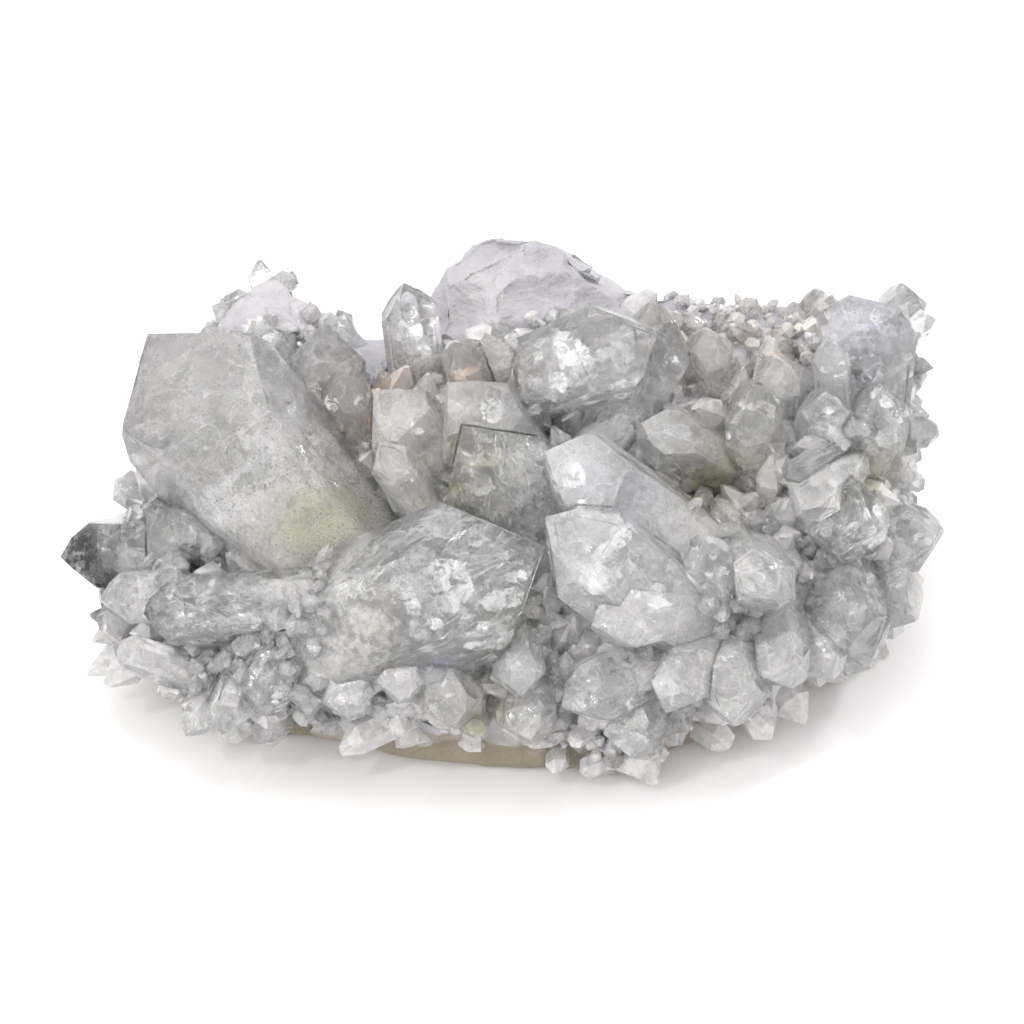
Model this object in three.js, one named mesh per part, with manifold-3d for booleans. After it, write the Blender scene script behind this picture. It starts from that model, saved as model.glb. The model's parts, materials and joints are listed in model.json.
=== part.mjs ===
// A natural quartz crystal cluster: a plate of milky quartz rock that lies on its flat underside,
// with clear and cloudy quartz crystals grown out of its front and upper side. Millimetres, +Z
// up, the front towards -Y, and the origin on the resting plane under the middle of the box.

import * as THREE from 'three';
import { ConvexGeometry } from 'three/addons/geometries/ConvexGeometry.js';
import { ImprovedNoise } from 'three/addons/math/ImprovedNoise.js';
import { mergeVertices } from 'three/addons/utils/BufferGeometryUtils.js';
import Module from 'manifold-3d';

const wasm = await Module();
wasm.setup();

// ---- Driving dimensions -------------------------------------------------------------------

// The plate of rock: its outline from above, anticlockwise from the front left, and its heights.
const RIM = [
  [-29, -28], [-4, -34], [20, -33], [40, -21], [54, -9], [57, 8], [55, 25], [36, 30], [4, 34],
  [-24, 31], [-41, 25], [-50, 6], [-52, -12], [-44, -24],
];
const PLATE_MIDDLE = [4, 0];
const FRONT_TOP = 14;
const BACK_TOP = 36;
const RIM_STEPS = 64;
// Rings of the side, as a share of the outline and of the height there, then of the upper side.
const SIDE_RINGS = [[0.86, 0], [0.95, 0.12], [1.0, 0.35], [1.0, 0.55]];
const TOP_RINGS = [0.97, 0.88, 0.77, 0.65, 0.52, 0.38, 0.24, 0.1];
// Where the upper side starts and stops climbing, from front to back.
const CLIMB = [-34, 22];
// The humps and hollows on it: place, width, depth and height.
const HUMPS = [
  { x: 2, y: 28, width: 14.5, depth: 13, height: 13.6 },
  { x: -33, y: 24, width: 10, depth: 12, height: 8 },
  { x: 38, y: 22, width: 24, depth: 12, height: 5 },
  { x: -17, y: 28, width: 6, depth: 12, height: -4 },
];
// How broad their tops are: 1 is a bell, and more is a dome with steeper sides.
const DOME = 1.5;
// The broken surface: its height, and how far apart its broad and its small lumps are.
const BROKEN_RELIEF = 1.8;
const BROAD_LUMPS = 11;
const SMALL_LUMPS = 5;
const SMALL_SHARE = 0.6;
// The outline wanders by this share, and the upper side falls by this share at the rim.
const RIM_WANDER = 0.05;
const RIM_FALL = 0.3;

// Quartz grows as a six-sided prism under a head of six faces, each 38.2 degrees off the axis.
const SIDES = 6;
const HEAD_NORMAL_TILT = THREE.MathUtils.degToRad(51.8);
const SMALL_FACE_LIFT = 0.14;
const ROOT_DEPTH = 2;
const SNAPPED_SHARE = 0.3;
// How the unevenness runs from one prism face to the next, and from one crystal to the next.
const FACE_STEP = 1.9;
const CRYSTAL_STEP = 2.3;

// Neighbours that grew into each other keep this gap.
const GAP = 0.3;

// The side that the best crystals face: forward and up.
const DISPLAY_SIDE = new THREE.Vector3(0, -0.77, 0.64);

// ---- The crystals ---------------------------------------------------------------------------
// root: where the crystal leaves the rock. tip: where its axis ends. across: its width between
// opposite prism faces. turn: degrees from a prism face that looks to the display side.
// chisel: how far the first head face is cut past the tip, as a share of the width.
// flat: the share of the width left between the first prism face and the one behind it.
// uneven: how much the six prism faces differ in their distance from the axis.
// snapped: the point of the head is broken off.
// An earlier crystal keeps its whole shape, and a later one stops where it meets it.

const CRYSTALS = [
  // The great crystal and what stands round it, on the left.
  { name: 'great_crystal', root: [-21, -12, 17], tip: [-49, 7, 47], across: 21.5, chisel: 0.3, uneven: 0.03 },
  { name: 'broken_stub', root: [-32, -8, 23], tip: [-51, -9, 23], across: 10.5, turn: 8, snapped: true },
  { name: 'black_tip', root: [-47, -9, 20], tip: [-60, -10, 20], across: 8.5, turn: 20 },
  { name: 'cross_crystal', root: [-25, -23, 23], tip: [-48, -22, 20], across: 9, turn: -10 },
  { name: 'left_lump', root: [-45, -18, 20], tip: [-54, -19, 20], across: 7.5, turn: 25 },
  { name: 'left_lens', root: [-42, -26, 13], tip: [-52, -25, 17], across: 4.4, turn: 10 },
  { name: 'corner_front', root: [-38, -27, 11], tip: [-42, -34, 9], across: 4.1, turn: 30 },
  { name: 'corner_side', root: [-41, -24, 11], tip: [-46, -29, 12], across: 3.6 },
  { name: 'corner_back', root: [-35, -28, 13], tip: [-37, -35, 10], across: 4.9, turn: 15 },
  { name: 'bright_wedge', root: [-30, -26, 16], tip: [-31, -37, 16], across: 7.4, chisel: 0.3 },
  // The clear crystal in front and the ones that crowd round its head.
  { name: 'front_clear', root: [-26, -22, 14], tip: [6, -28, 37], across: 19, chisel: 0.16, uneven: 0.05 },
  { name: 'olive_head', root: [7, -10, 20], tip: [-5, -9, 42], across: 14.5 },
  { name: 'white_sliver', root: [-9, -10, 26], tip: [-16, -10, 40], across: 6 },
  { name: 'warm_face', root: [-7, -3, 28], tip: [-17, 0, 41], across: 9.6, turn: 12 },
  { name: 'long_back', root: [6, -5, 24], tip: [-7, -2, 44], across: 11.5, turn: 20 },
  { name: 'arch_peak', root: [-2, 4, 33], tip: [-6, 4, 46], across: 6.3, turn: 30 },
  { name: 'bright_flake', root: [1, 5, 33], tip: [-2, 6, 46], across: 5.5, chisel: 0.3 },
  { name: 'tucked_clear', root: [-18, 2, 30], tip: [-22, 1, 43], across: 6.3, turn: 15 },
  // The row along the back.
  { name: 'smooth_grey', root: [1, 8, 33], tip: [21, 1, 50], across: 12.6, turn: 6, chisel: 0.2 },
  { name: 'upright', root: [-11, 12, 30], tip: [-13, 16, 47], across: 7.1, turn: 30 },
  { name: 'back_grey', root: [-24, 7, 29], tip: [-24, 9, 45], across: 10.7, turn: 10 },
  { name: 'back_step', root: [-29, 12, 30], tip: [-34, 14, 42], across: 6.3 },
  { name: 'left_back', root: [-29, 20, 30], tip: [-40, 21, 40], across: 8.2, turn: 25, chisel: 0.3 },
  { name: 'dark_peak', root: [12, -1, 29], tip: [24, 9, 46], across: 10.5, turn: 30 },
  { name: 'white_bars', root: [21, 13, 35], tip: [21, 13, 46], across: 4.7, turn: 30 },
  { name: 'pale_heart', root: [29, 10, 32], tip: [28, 8, 45], across: 6, turn: 12 },
  // The long prisms that lie across the middle.
  { name: 'frosted', root: [27, -13, 23], tip: [6, -15, 43], across: 11.5, turn: 20, chisel: 0.2 },
  { name: 'wide_prism', root: [27, -22, 16], tip: [6, -23, 38], across: 12.3, turn: 10 },
  { name: 'streaked', root: [31, 0, 27], tip: [19, -6, 40], across: 8.5, turn: 15 },
  { name: 'long_low', root: [30, -19, 21], tip: [12, -32, 27], across: 8.2, turn: 20 },
  // The low crystals along the front edge.
  { name: 'low_blade', root: [25, -25, 17], tip: [8, -37, 17], across: 7.4, turn: 20, flat: 0.8 },
  { name: 'foot_stub', root: [19, -28, 11], tip: [17, -39, 10], across: 8.5, turn: 30 },
  { name: 'sparkle_wedge', root: [26, -24, 18], tip: [22, -37, 16], across: 7.4, chisel: 0.3 },
  { name: 'low_hexagon', root: [31, -23, 15], tip: [31, -37, 14], across: 8.8, turn: 5 },
  { name: 'mid_triangle', root: [2, -27, 21], tip: [3, -38, 20], across: 6.4 },
  { name: 'low_middle', root: [4, -30, 13], tip: [4, -40, 14], across: 6.2, turn: 20 },
  { name: 'low_round', root: [-7, -28, 16], tip: [-6, -39, 15], across: 7.7, turn: 10 },
  { name: 'low_left_teeth', root: [-20, -26, 16], tip: [-20, -38, 16], across: 6.9, turn: 12 },
  { name: 'low_bead', root: [-13, -28, 19], tip: [-13, -38, 19], across: 5.5 },
  // The right-hand end.
  { name: 'round_head', root: [33, -14, 24], tip: [36, -29, 29], across: 8.2, turn: 10 },
  { name: 'dark_edge', root: [37, -18, 18], tip: [38, -34, 18], across: 7.4, chisel: 0.25, turn: 25 },
  { name: 'low_corner', root: [41, -19, 15], tip: [44, -30, 16], across: 6.9, turn: 20 },
  { name: 'small_peak', root: [29, -21, 19], tip: [27, -22, 34], across: 7.4, turn: 30 },
  { name: 'right_barrel', root: [44, -6, 25], tip: [49, -20, 33], across: 9.4, turn: 15, chisel: 0.3 },
  { name: 'clear_drop', root: [47, -13, 18], tip: [46, -28, 19], across: 9.1, turn: 25 },
  { name: 'low_right', root: [48, -15, 14], tip: [50, -24, 14], across: 7.7, turn: 8 },
  { name: 'right_flank', root: [52, -1, 16], tip: [60, -8, 22], across: 8.5, turn: 15 },
  { name: 'right_slope', root: [50, -8, 15], tip: [56, -18, 15], across: 8.5, turn: 30 },
  { name: 'square_block', root: [50, 14, 27], tip: [50, 12, 48], across: 13.4, turn: 40, snapped: true },
  { name: 'corner_knob', root: [55, 23, 31], tip: [56, 22, 42], across: 6, turn: 20 },
  { name: 'right_bead', root: [56, 21, 35], tip: [60, 18, 39], across: 3.6 },
  { name: 'bright_facet', root: [46, 5, 33], tip: [44, 4, 46], across: 4.4, chisel: 0.3 },
  { name: 'blue_streaks', root: [50, 3, 24], tip: [52, 2, 40], across: 8.2, turn: 25 },
  { name: 'grey_facet', root: [43, 1, 27], tip: [44, -2, 42], across: 7.1, turn: 5 },
  { name: 'round_shoulder', root: [34, -1, 27], tip: [34, -3, 44], across: 7.4, turn: 30 },
  { name: 'pale_round', root: [39, 6, 30], tip: [37, 3, 44], across: 6.3, turn: 8 },
  { name: 'slant_rod', root: [46, -3, 34], tip: [38, -15, 38], across: 3 },
  { name: 'pale_knob', root: [46, -4, 31], tip: [40, -18, 35], across: 6.3, turn: 20 },
  { name: 'right_tooth', root: [55, 11, 24], tip: [60, 6, 29], across: 4.1 },
];

// ---- Solids ---------------------------------------------------------------------------------

function solidOf(geometry) {
  geometry.deleteAttribute('normal');
  if (geometry.hasAttribute('uv')) geometry.deleteAttribute('uv');
  const merged = mergeVertices(geometry, 1e-4);
  return new wasm.Manifold(new wasm.Mesh({
    numProp: 3,
    vertProperties: new Float32Array(merged.attributes.position.array),
    triVerts: new Uint32Array(merged.index.array),
  }));
}

function geometryOf(solid) {
  const mesh = solid.getMesh();
  const geometry = new THREE.BufferGeometry();
  geometry.setAttribute('position', new THREE.BufferAttribute(mesh.vertProperties, 3));
  geometry.setIndex(new THREE.BufferAttribute(mesh.triVerts, 1));
  return geometry;
}

function largestPiece(solid) {
  return solid.decompose().sort((a, b) => b.volume() - a.volume())[0];
}

// ---- One quartz crystal ---------------------------------------------------------------------

// The flat faces that bound a crystal, each moved outwards by grow.
function crystalFaces(crystal, index, grow) {
  const { turn = 0, chisel = 0.08, flat = 1, uneven = 0.12, snapped = false } = crystal;
  const root = new THREE.Vector3(...crystal.root);
  const tip = new THREE.Vector3(...crystal.tip);
  const axis = tip.clone().sub(root).normalize();
  const first = DISPLAY_SIDE.clone().projectOnPlane(axis).normalize();
  first.applyAxisAngle(axis, THREE.MathUtils.degToRad(turn));

  const faces = [];
  const addFace = (normal, point) => {
    const through = point.clone().addScaledVector(normal, grow);
    faces.push(new THREE.Plane().setFromNormalAndCoplanarPoint(normal, through));
  };
  for (let side = 0; side < SIDES; side += 1) {
    const out = first.clone().applyAxisAngle(axis, (side * Math.PI) / 3);
    const wave = uneven * Math.sin(CRYSTAL_STEP * index + FACE_STEP * side);
    const share = (1 + wave) * (side % 3 ? 1 : flat);
    addFace(out, root.clone().addScaledVector(out, (crystal.across / 2) * share));

    const slope = out.clone().multiplyScalar(Math.sin(HEAD_NORMAL_TILT));
    slope.addScaledVector(axis, Math.cos(HEAD_NORMAL_TILT));
    const smallFace = side % 2 ? SMALL_FACE_LIFT : 0;
    const lift = side === 0 ? -chisel : smallFace;
    addFace(slope, tip.clone().addScaledVector(axis, crystal.across * lift));
  }
  if (snapped) {
    addFace(axis.clone(), tip.clone().addScaledVector(axis, -SNAPPED_SHARE * crystal.across));
  }
  const foot = root.clone().addScaledVector(axis, -ROOT_DEPTH);
  addFace(axis.clone().negate(), foot);
  return faces;
}

// The point where three planes meet, or null where they are nearly parallel.
function meetingPoint(a, b, c) {
  const crossed = b.normal.clone().cross(c.normal);
  const spread = a.normal.dot(crossed);
  if (Math.abs(spread) < 1e-6) return null;
  return crossed.multiplyScalar(-a.constant)
    .addScaledVector(c.normal.clone().cross(a.normal), -b.constant)
    .addScaledVector(a.normal.clone().cross(b.normal), -c.constant)
    .divideScalar(spread);
}

// The closed body inside all of the faces.
function bodyInside(faces) {
  const corners = [];
  for (let i = 0; i < faces.length; i += 1) {
    for (let j = i + 1; j < faces.length; j += 1) {
      for (let k = j + 1; k < faces.length; k += 1) {
        const point = meetingPoint(faces[i], faces[j], faces[k]);
        if (!point || faces.some((face) => face.distanceToPoint(point) > 1e-5)) continue;
        if (!corners.some((corner) => corner.distanceTo(point) < 1e-3)) corners.push(point);
      }
    }
  }
  return solidOf(new ConvexGeometry(corners));
}

// ---- The plate of rock ----------------------------------------------------------------------

const noise = new ImprovedNoise();

// The height of the rock's upper side: it climbs to the back, with a broken hump behind the
// middle and lower ones behind the great crystal and along the right-hand end.
function rockTop(x, y) {
  const climb = THREE.MathUtils.smoothstep(y, ...CLIMB);
  let height = FRONT_TOP + (BACK_TOP - FRONT_TOP) * climb;
  for (const hump of HUMPS) {
    const away = ((x - hump.x) / hump.width) ** 2 + ((y - hump.y) / hump.depth) ** 2;
    height += hump.height * Math.exp(-(away ** DOME));
  }
  return height;
}

function rockRelief(x, y, z) {
  const broad = noise.noise(x / BROAD_LUMPS, y / BROAD_LUMPS, z);
  const small = noise.noise(x / SMALL_LUMPS, y / SMALL_LUMPS, z);
  return BROKEN_RELIEF * (broad + SMALL_SHARE * small);
}

// The rock is a stack of rings: the flat foot, the side up to the rim, then the upper side
// ring by ring in to the middle.
function rockSolid() {
  const [middleX, middleY] = PLATE_MIDDLE;
  const rimPoints = RIM.map(([x, y]) => new THREE.Vector3(x, y, 0));
  const rim = new THREE.CatmullRomCurve3(rimPoints, true).getSpacedPoints(RIM_STEPS).slice(0, -1);
  const points = [middleX, middleY, 0];
  const addRing = (share, heightAt) => {
    rim.forEach((corner, step) => {
      const lumps = 1 + RIM_WANDER * noise.noise(step / 2.5, share * 6, 0.5);
      const x = middleX + (corner.x - middleX) * share * lumps;
      const y = middleY + (corner.y - middleY) * share * lumps;
      points.push(x, y, heightAt(x, y));
    });
  };
  for (const [share, height] of SIDE_RINGS) addRing(share, (x, y) => height * rockTop(x, y));
  for (const share of TOP_RINGS) {
    const fall = 1 - RIM_FALL * share ** 10;
    addRing(share, (x, y) => rockTop(x, y) * fall + rockRelief(x, y, share));
  }
  points.push(middleX, middleY, rockTop(middleX, middleY));

  const ringCount = SIDE_RINGS.length + TOP_RINGS.length;
  const summit = 1 + ringCount * RIM_STEPS;
  const lastRing = summit - RIM_STEPS;
  const triangles = [];
  for (let step = 0; step < RIM_STEPS; step += 1) {
    const next = (step + 1) % RIM_STEPS;
    triangles.push(0, 1 + next, 1 + step);
    for (let low = 1; low < lastRing; low += RIM_STEPS) {
      const high = low + RIM_STEPS;
      triangles.push(low + step, low + next, high + next);
      triangles.push(low + step, high + next, high + step);
    }
    triangles.push(lastRing + step, lastRing + next, summit);
  }
  const geometry = new THREE.BufferGeometry();
  geometry.setAttribute('position', new THREE.Float32BufferAttribute(points, 3));
  geometry.setIndex(triangles);
  return solidOf(geometry);
}

// ---- The cluster ----------------------------------------------------------------------------

const CRYSTAL_COLOURS = [0xc9c7c4, 0xbfc0c2, 0xd2d0ce];
const ROCK_COLOUR = 0xcfcdd6;

const pieces = [];
const grown = [];
CRYSTALS.forEach((crystal, index) => {
  let solid = bodyInside(crystalFaces(crystal, index, 0));
  for (const neighbour of grown) solid = solid.subtract(neighbour);
  grown.push(bodyInside(crystalFaces(crystal, index, GAP)));
  pieces.push({
    name: crystal.name,
    solid: largestPiece(solid),
    colour: CRYSTAL_COLOURS[index % CRYSTAL_COLOURS.length],
    roughness: 0.12,
  });
});
let rock = rockSolid();
for (const crystal of grown) rock = rock.subtract(crystal);
pieces.push({ name: 'rock', solid: largestPiece(rock), colour: ROCK_COLOUR, roughness: 0.7 });

const group = new THREE.Group();
for (const piece of pieces) {
  const material = new THREE.MeshStandardMaterial({
    color: piece.colour,
    roughness: piece.roughness,
    metalness: 0,
  });
  const mesh = new THREE.Mesh(geometryOf(piece.solid), material);
  mesh.name = piece.name;
  group.add(mesh);
}
const box = new THREE.Box3().setFromObject(group);
const middle = box.getCenter(new THREE.Vector3());
for (const mesh of group.children) mesh.geometry.translate(-middle.x, -middle.y, -box.min.z);

export default group;
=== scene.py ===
# %% [markdown]
# # A quartz crystal cluster
# The object is a hand-size cluster: a plate of milky quartz rock, clear and cloudy quartz
# crystals that grew out of its front and upper side, and a sugar of tiny crystals between them.
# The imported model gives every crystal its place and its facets. This lesson gives them their
# edges, their growth marks, the cracks and veils inside them, their finish, and the tiny
# crystals that cover the rock between them.

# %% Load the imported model
import json
import math
import random

import bpy
from mathutils import Matrix, Vector
from mathutils.bvhtree import BVHTree


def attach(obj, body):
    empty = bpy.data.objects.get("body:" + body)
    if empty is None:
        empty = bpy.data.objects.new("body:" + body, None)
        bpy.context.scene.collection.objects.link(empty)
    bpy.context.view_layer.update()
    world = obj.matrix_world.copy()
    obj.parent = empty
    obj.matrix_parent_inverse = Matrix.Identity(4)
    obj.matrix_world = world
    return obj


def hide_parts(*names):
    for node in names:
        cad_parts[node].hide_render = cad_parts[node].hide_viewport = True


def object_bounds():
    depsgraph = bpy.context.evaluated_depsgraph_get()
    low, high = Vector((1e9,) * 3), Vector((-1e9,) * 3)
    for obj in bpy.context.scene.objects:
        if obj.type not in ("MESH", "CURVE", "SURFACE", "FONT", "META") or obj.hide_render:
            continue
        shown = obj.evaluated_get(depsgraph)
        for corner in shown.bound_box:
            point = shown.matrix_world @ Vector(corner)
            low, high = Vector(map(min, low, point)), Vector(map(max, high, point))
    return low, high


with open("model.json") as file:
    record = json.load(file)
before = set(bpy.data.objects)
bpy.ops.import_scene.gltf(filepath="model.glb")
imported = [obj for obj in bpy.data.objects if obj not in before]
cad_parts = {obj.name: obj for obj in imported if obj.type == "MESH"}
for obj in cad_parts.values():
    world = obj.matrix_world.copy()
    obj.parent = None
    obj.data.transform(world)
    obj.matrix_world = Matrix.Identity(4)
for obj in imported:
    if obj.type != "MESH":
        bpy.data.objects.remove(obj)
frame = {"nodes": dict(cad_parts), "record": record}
cad_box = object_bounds()
MM = 0.001
nodes = frame["nodes"]
slot_of = {part["node"]: part["material_slot"] for part in frame["record"]["subparts"]}
crystal_names = sorted(name for name in nodes if name != "rock")
scene = bpy.context.scene
print("crystals:", len(crystal_names), "box:", [[round(c, 4) for c in corner] for corner in cad_box])

# %% [markdown]
# ## Camera, light and floor
# The cluster is seen from the front and well above, with a long lens so that near and far
# crystals keep their sizes. Quartz has almost no colour of its own, so what it looks like is
# what stands round it. Two large soft lights give each facet one even tone, and two small ones
# put a glint on the edges. The room is white above and darker near the horizon, so that facets
# that mirror the horizon turn grey and the edges between facets show. A picture of clear
# crystals holds deep greys and whites side by side, so the tone curve is a soft one.

# %% Camera
VIEW_HEIGHT = math.radians(40)
VIEW_DISTANCE = 0.6
VIEW_CENTRE = Vector((1.2 * MM, 0.2 * MM, 21.4 * MM))
LENS = 154
camera_data = bpy.data.cameras.new("camera")
camera_data.lens = LENS
camera_data.clip_start = 0.01
camera = bpy.data.objects.new("camera", camera_data)
scene.collection.objects.link(camera)
back = Vector((0, -math.cos(VIEW_HEIGHT), math.sin(VIEW_HEIGHT)))
camera.location = VIEW_CENTRE + VIEW_DISTANCE * back
camera.rotation_euler = (math.pi / 2 - VIEW_HEIGHT, 0, 0)
scene.camera = camera
print("camera at", [round(c, 3) for c in camera.location])

# %% Soft lights
def soft_light(name, place, size, watts, tint):
    data = bpy.data.lights.new(name, "AREA")
    data.shape = "DISK"
    data.size = size
    data.energy = watts
    data.color = tint
    light = bpy.data.objects.new(name, data)
    scene.collection.objects.link(light)
    light.location = place
    light.rotation_euler = (Vector(place) - VIEW_CENTRE).to_track_quat("Z", "Y").to_euler()
    print(name, "light, metres across:", size)


soft_light("overhead", (-0.10, 0.10, 0.80), 0.50, 2.6, (1.0, 0.99, 0.98))
soft_light("window", (-0.60, -0.50, 0.35), 0.35, 2.2, (1.0, 0.99, 0.97))
soft_light("glint", (0.50, 0.30, 0.45), 0.10, 1.6, (1.0, 1.0, 1.0))
soft_light("spark", (-0.35, -0.30, 0.60), 0.05, 0.8, (1.0, 1.0, 1.0))

# %% The room, white above and grey at the horizon
world = bpy.data.worlds.new("room")
world.use_nodes = True
room = world.node_tree
direction = room.nodes.new("ShaderNodeTexCoord")
upward = room.nodes.new("ShaderNodeSeparateXYZ")
tone = room.nodes.new("ShaderNodeValToRGB")
room.links.new(direction.outputs["Generated"], upward.inputs[0])
room.links.new(upward.outputs["Z"], tone.inputs["Fac"])
room.links.new(tone.outputs["Color"], room.nodes["Background"].inputs["Color"])
HORIZON = (0.62, 0.61, 0.605, 1)
WHITE_WALL = (1.0, 0.980, 0.972, 1)
tone.color_ramp.elements[0].position = 0.0
tone.color_ramp.elements[0].color = HORIZON
tone.color_ramp.elements[1].position = 0.55
tone.color_ramp.elements[1].color = WHITE_WALL
room.nodes["Background"].inputs["Strength"].default_value = 1.35
scene.world = world

# %% Tone curve, and enough bounces for light to cross several crystals
scene.view_settings.view_transform = "Standard"
scene.view_settings.gamma = 1.25
scene.view_settings.exposure = -0.15
scene.cycles.max_bounces = 20
scene.cycles.transmission_bounces = 20
scene.cycles.transparent_max_bounces = 32
print("bounces:", scene.cycles.max_bounces)

# %% [markdown]
# ## A short way to write finishes
# Shader maths is easier to read as an expression than as boxes and wires. `Wire` wraps one
# output socket, so that `1 - mask` adds a Math node by itself. `Finish` is one material, and its
# `add` makes any other node from its type, its settings and what its sockets get.

# %% Wire and Finish
class Wire:
    def __init__(self, finish, socket):
        self.finish = finish
        self.socket = socket

    def math(self, operation, *values):
        return self.finish.add("ShaderNodeMath", {"operation": operation}, dict(enumerate(values)))

    def __add__(self, other):
        return self.math("ADD", self, other)

    def __radd__(self, other):
        return self.math("ADD", other, self)

    def __sub__(self, other):
        return self.math("SUBTRACT", self, other)

    def __rsub__(self, other):
        return self.math("SUBTRACT", other, self)

    def __mul__(self, other):
        return self.math("MULTIPLY", self, other)

    def __rmul__(self, other):
        return self.math("MULTIPLY", other, self)

    def __truediv__(self, other):
        return self.math("DIVIDE", self, other)

    def clamped(self):
        return self.math("MINIMUM", self.math("MAXIMUM", self, 0.0), 1.0)


class Finish:
    def __init__(self, name):
        self.material = bpy.data.materials.new(name)
        self.material.use_nodes = True
        self.tree = self.material.node_tree
        self.tree.nodes.clear()
        self.output = self.tree.nodes.new("ShaderNodeOutputMaterial")
        self.place = self.add("ShaderNodeTexCoord", out="Object")

    def add(self, kind, settings=None, sockets=None, out=0):
        node = self.tree.nodes.new(kind)
        for key, value in (settings or {}).items():
            setattr(node, key, value)
        for key, value in (sockets or {}).items():
            if isinstance(value, Wire):
                self.tree.links.new(value.socket, node.inputs[key])
            else:
                node.inputs[key].default_value = value
        return Wire(self, node.outputs[out])

    def noise(self, scale, detail=4.0, rough=0.55, swirl=0.0, at=None):
        return self.add("ShaderNodeTexNoise", sockets={
            "Vector": at or self.place, "Scale": scale, "Detail": detail,
            "Roughness": rough, "Distortion": swirl})

    def fade(self, value, low, high):
        return self.add("ShaderNodeMapRange", {"interpolation_type": "SMOOTHSTEP"},
                        {"Value": value, "From Min": low, "From Max": high})

    def blend(self, share, first, second):
        sockets = {0: share, 6: first, 7: second}
        return self.add("ShaderNodeMix", {"data_type": "RGBA"}, sockets, out=2)

    def vector(self, operation, first, second=(0, 0, 0)):
        return self.add("ShaderNodeVectorMath", {"operation": operation}, {0: first, 1: second})

    def red(self, colour):
        return self.add("ShaderNodeSeparateColor", sockets={0: colour})

    def cells(self, at, scale, feature="F1", out="Color"):
        return self.add("ShaderNodeTexVoronoi", {"feature": feature},
                        {"Vector": at, "Scale": scale}, out)

    def bump(self, height, strength, distance, normal=None):
        sockets = {"Height": height, "Strength": strength, "Distance": distance}
        if normal:
            sockets["Normal"] = normal
        return self.add("ShaderNodeBump", sockets=sockets)

    def attribute(self, name):
        return self.add("ShaderNodeAttribute", {"attribute_name": name}, out="Fac")

    def near(self, centre, reach):
        """1 at a place in millimetres, fading to 0 at its reach."""
        away = self.add("ShaderNodeVectorMath", {"operation": "DISTANCE"},
                        {0: self.place, 1: tuple(c * MM for c in centre)}, out="Value")
        return 1.0 - self.fade(away, 0.0, reach * MM)

    def surface(self, wire):
        self.tree.links.new(wire.socket, self.output.inputs["Surface"])
        return self.material

# %% [markdown]
# ## Quartz
# Clear quartz bends and reflects light like glass. Most of a real cluster isn't clear, though:
# veils of tiny bubbles cloud it, above all near the rock, and its surface carries growth lines
# across the prism faces, dust and small frosted patches. So each crystal is a mix of a glassy
# shader and a milky one, and the share of milk is a pattern in space. The growth lines follow
# an attribute, `along`, that says how far up the crystal's own axis a point is. Iron and clay
# leave olive and rusty stains at a few places of the cluster, which every quartz shares. A black
# patch on the quartz low at the far left is painted shadow, shared the same way. Each facet's
# colour is also painted lighter or darker by the way it faces, as painted shade between facets.

# %% Stains of the whole cluster, and a painted shadow at the far left, as place, reach in millimetres and strength
OLIVE = (0.54, 0.53, 0.28, 1)
RUST = (0.70, 0.53, 0.40, 1)
VIOLET = (0.52, 0.54, 0.86, 1)
LEFT_UNDERSIDE_SHADOW = (0.012, 0.012, 0.014, 1)
STAINS_AND_SHADOW = [
    (OLIVE, (-25, -10, 28), 12, 0.9), (OLIVE, (-6, -8, 36), 11, 1.0), (OLIVE, (-15, -24, 24), 8, 0.9),
    (OLIVE, (-3, -32, 12), 9, 0.8), (OLIVE, (30, 0, 30), 10, 0.8), (OLIVE, (50, 0, 28), 8, 0.7),
    (OLIVE, (0, -26, 26), 8, 0.8), (OLIVE, (26, -6, 28), 10, 0.7), (OLIVE, (24, 14, 42), 7, 0.6),
    (RUST, (-17, 6, 36), 12, 0.9), (RUST, (-4, 6, 42), 8, 0.8), (RUST, (33, 14, 40), 12, 0.6),
    (RUST, (-44, 2, 38), 5, 1.4), (RUST, (-38, 0, 38), 5, 1.4), (RUST, (40, 20, 40), 9, 0.5),
    (VIOLET, (-15, -34, 16), 4, 0.9), (VIOLET, (-8, -28, 22), 6, 0.8), (VIOLET, (1, -26, 20), 5, 0.7),
    (VIOLET, (50, 14, 44), 13, 0.4), (VIOLET, (14, -14, 36), 9, 0.35),
    # Painted shadow: black on the quartz low at the far left, where the rock's underside is in shade.
    (LEFT_UNDERSIDE_SHADOW, (-59, -10, 20), 9, 2.2), (LEFT_UNDERSIDE_SHADOW, (-57, -12, 17), 6, 2.0),
]

def stained_and_shadowed(finish, colour, patches=1.0):
    """The colour, with every stain and the painted shadow of the cluster over it where the patches let
    it through.
    """
    for tint, centre, reach, strength in STAINS_AND_SHADOW:
        colour = finish.blend(finish.near(centre, reach) * patches * strength, colour, tint)
    return colour

print("stains:", len(STAINS_AND_SHADOW))

# %% Quartz finish
GLASS = (0.985, 0.985, 0.98, 1)
# A darker copy of the glass colour, for the painted shade on some facets.
SHADED_GLASS = (0.86, 0.86, 0.865, 1)
MILK = (0.64, 0.635, 0.64, 1)
DIRT = (0.06, 0.055, 0.05, 1)

def brighter(colour, times):
    return tuple(min(1, part * times) for part in colour[:3]) + (1,)

def broken_cells(finish, size, swirl):
    """Curved cells of about this size in millimetres, like the crack surfaces in a crystal."""
    bend = finish.add("ShaderNodeTexNoise", sockets={
        "Vector": finish.place, "Scale": 250.0, "Detail": 2.0}, out="Color")
    bent = finish.vector("ADD", finish.place, finish.vector(
        "MULTIPLY", finish.vector("SUBTRACT", bend, (0.5, 0.5, 0.5)), (swirl * MM,) * 3))
    return bent, 1.0 / (size * MM)

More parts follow.
